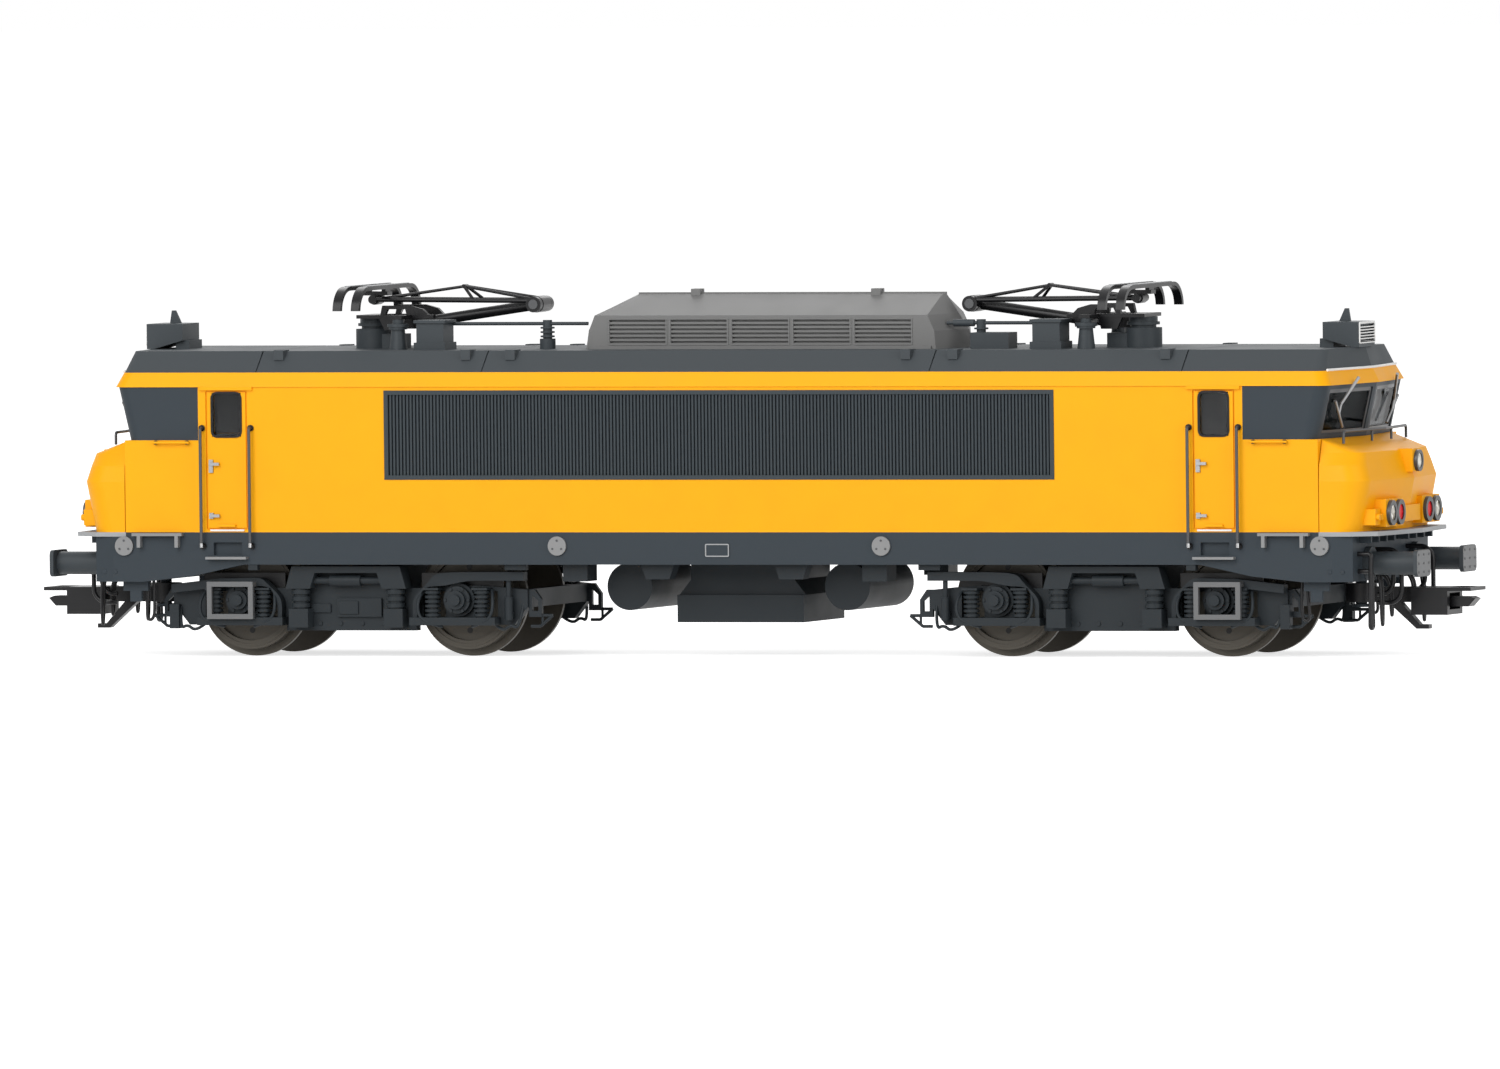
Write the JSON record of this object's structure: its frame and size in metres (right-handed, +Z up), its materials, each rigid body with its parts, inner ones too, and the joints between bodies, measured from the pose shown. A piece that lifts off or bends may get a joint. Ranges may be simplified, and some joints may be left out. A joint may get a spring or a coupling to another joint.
{
  "type": "model electric locomotive",
  "caption": "1:87 scale model of an electric locomotive with reverse-raked cab fronts, folding roof pantographs, swivelling bogies, turning wheels and swinging couplers",
  "frame": {"origin": "middle of the model's length and width, at the tips of the wheel flanges", "axes": "X along the model towards the front cab, Y across it, Z up"},
  "size_m": [0.21, 0.0364, 0.0515],
  "materials": {
    "black_metal": "black finish on thin metal",
    "black_plastic": "black moulded plastic",
    "black_rubber": "black soft plastic",
    "blue_grey_paint": "semi-matt dark blue-grey paint",
    "bogie_grey": "dark grey moulded plastic",
    "chrome_trim": "bright plated rim",
    "clear_lens": "clear lens",
    "dark_cast": "plain cast block",
    "dark_plastic": "dark moulded plastic",
    "glazing": "clear moulded glazing",
    "grille_grey": "matt dark blue-grey paint",
    "light_grey": "satin light grey paint",
    "red_lens": "red lens",
    "roof_fittings": "matt moulded plastic",
    "roof_grey": "matt grey paint",
    "silver_grey": "satin light grey paint",
    "silver_metal": "satin steel",
    "spring_dark": "dark grey moulded plastic",
    "wheel_steel": "darkened steel",
    "yellow_body": "semi-matt yellow paint on cast metal",
    "yellow_wire": "yellow painted wire"
  },
  "bodies": {
    "loco": {"ac_units": "roof_fittings", "air_tanks": "bogie_grey", "battery_box": "bogie_grey", "body_shell": "yellow_body", "buffer_heads": "silver_metal", "buffer_shanks": "black_plastic", "cab_front": "blue_grey_paint", "cab_inside": "dark_plastic", "cab_rear": "blue_grey_paint", "door_handles": "silver_metal", "door_handrails": "yellow_wire", "door_windows": "glazing", "footplates": "light_grey", "hangers": "bogie_grey", "hoses": "black_rubber", "jack_covers": "silver_grey", "lamp_lenses_red": "red_lens", "lamp_lenses_white": "clear_lens", "lamp_rims": "chrome_trim", "motor_block": "dark_cast", "nose_front": "yellow_body", "nose_handrails": "yellow_body", "nose_rear": "yellow_body", "pan_base_front": "black_metal", "pan_base_rear": "black_metal", "pan_insulators": "roof_fittings", "roof": "roof_grey", "roof_hood": "silver_grey", "roof_line": "roof_fittings", "side_grilles": "grille_grey", "side_steps": "silver_grey", "underframe": "blue_grey_paint", "windscreens": "glazing", "wipers": "silver_metal"},
    "bogie_front": {"bogie_frame_front": "bogie_grey", "bogie_guards_front": "bogie_grey", "bogie_springs_front": "spring_dark", "ladders_front": "silver_grey"},
    "bogie_rear": {"bogie_frame_rear": "bogie_grey", "bogie_guards_rear": "bogie_grey", "bogie_springs_rear": "spring_dark", "ladders_rear": "silver_grey"},
    "coupler_front": {"coupler_front": "black_plastic"},
    "coupler_rear": {"coupler_rear": "black_plastic"},
    "pan_head_front": {"pan_head_front": "black_metal"},
    "pan_head_rear": {"pan_head_rear": "black_metal"},
    "pan_lower_arm_front": {"pan_lower_arm_front": "black_metal"},
    "pan_lower_arm_rear": {"pan_lower_arm_rear": "black_metal"},
    "pan_upper_arm_front": {"pan_upper_arm_front": "black_metal"},
    "pan_upper_arm_rear": {"pan_upper_arm_rear": "black_metal"},
    "wheelset_1": {"wheelset_1": "wheel_steel"},
    "wheelset_2": {"wheelset_2": "wheel_steel"},
    "wheelset_3": {"wheelset_3": "wheel_steel"},
    "wheelset_4": {"wheelset_4": "wheel_steel"}
  },
  "joints": [
    {"name": "bogie_front_swivel", "type": "hinge", "parent": "loco", "child": "bogie_front", "pos_m": [0.0557, 0, 0.013], "axis": [0, 0, 1], "range_deg": [-9, 9]},
    {"name": "coupler_front_swing", "type": "hinge", "parent": "loco", "child": "coupler_front", "pos_m": [0.088, 0, 0.0086], "axis": [0, 0, 1], "range_deg": [-14, 14]},
    {"name": "pan_front_raise", "type": "hinge", "parent": "loco", "child": "pan_lower_arm_front", "pos_m": [0.0486, 0, 0.0463], "axis": [0, 1, 0], "range_deg": [0, 45]},
    {"name": "pan_front_knee", "type": "hinge", "parent": "pan_lower_arm_front", "child": "pan_upper_arm_front", "pos_m": [0.0321, 0, 0.0487], "axis": [0, 1, 0], "range_deg": [-86.85, 0]},
    {"name": "pan_front_head_level", "type": "hinge", "parent": "pan_upper_arm_front", "child": "pan_head_front", "pos_m": [0.0562, 0, 0.0494], "axis": [0, 1, 0], "range_deg": [0, 41.85]},
    {"name": "bogie_rear_swivel", "type": "hinge", "parent": "loco", "child": "bogie_rear", "pos_m": [-0.0557, 0, 0.013], "axis": [0, 0, 1], "range_deg": [-9, 9]},
    {"name": "coupler_rear_swing", "type": "hinge", "parent": "loco", "child": "coupler_rear", "pos_m": [-0.088, 0, 0.0086], "axis": [0, 0, 1], "range_deg": [-14, 14]},
    {"name": "pan_rear_raise", "type": "hinge", "parent": "loco", "child": "pan_lower_arm_rear", "pos_m": [-0.0486, 0, 0.0463], "axis": [0, -1, 0], "range_deg": [0, 45]},
    {"name": "pan_rear_knee", "type": "hinge", "parent": "pan_lower_arm_rear", "child": "pan_upper_arm_rear", "pos_m": [-0.0321, 0, 0.0487], "axis": [0, -1, 0], "range_deg": [-86.85, 0]},
    {"name": "pan_rear_head_level", "type": "hinge", "parent": "pan_upper_arm_rear", "child": "pan_head_rear", "pos_m": [-0.0562, 0, 0.0494], "axis": [0, -1, 0], "range_deg": [0, 41.85]},
    {"name": "wheelset_1_spin", "type": "hinge", "parent": "bogie_front", "child": "wheelset_1", "pos_m": [0.0718, 0, 0.008], "axis": [0, 1, 0], "continuous": true},
    {"name": "wheelset_2_spin", "type": "hinge", "parent": "bogie_front", "child": "wheelset_2", "pos_m": [0.0396, 0, 0.008], "axis": [0, 1, 0], "continuous": true},
    {"name": "wheelset_3_spin", "type": "hinge", "parent": "bogie_rear", "child": "wheelset_3", "pos_m": [-0.0396, 0, 0.008], "axis": [0, 1, 0], "continuous": true},
    {"name": "wheelset_4_spin", "type": "hinge", "parent": "bogie_rear", "child": "wheelset_4", "pos_m": [-0.0718, 0, 0.008], "axis": [0, 1, 0], "continuous": true}
  ],
  "couplings": [
    {"joint": "pan_front_knee", "follows": "pan_front_raise", "ratio": -1.93},
    {"joint": "pan_front_head_level", "follows": "pan_front_raise", "ratio": 0.93},
    {"joint": "pan_rear_knee", "follows": "pan_rear_raise", "ratio": -1.93},
    {"joint": "pan_rear_head_level", "follows": "pan_rear_raise", "ratio": 0.93}
  ]
}
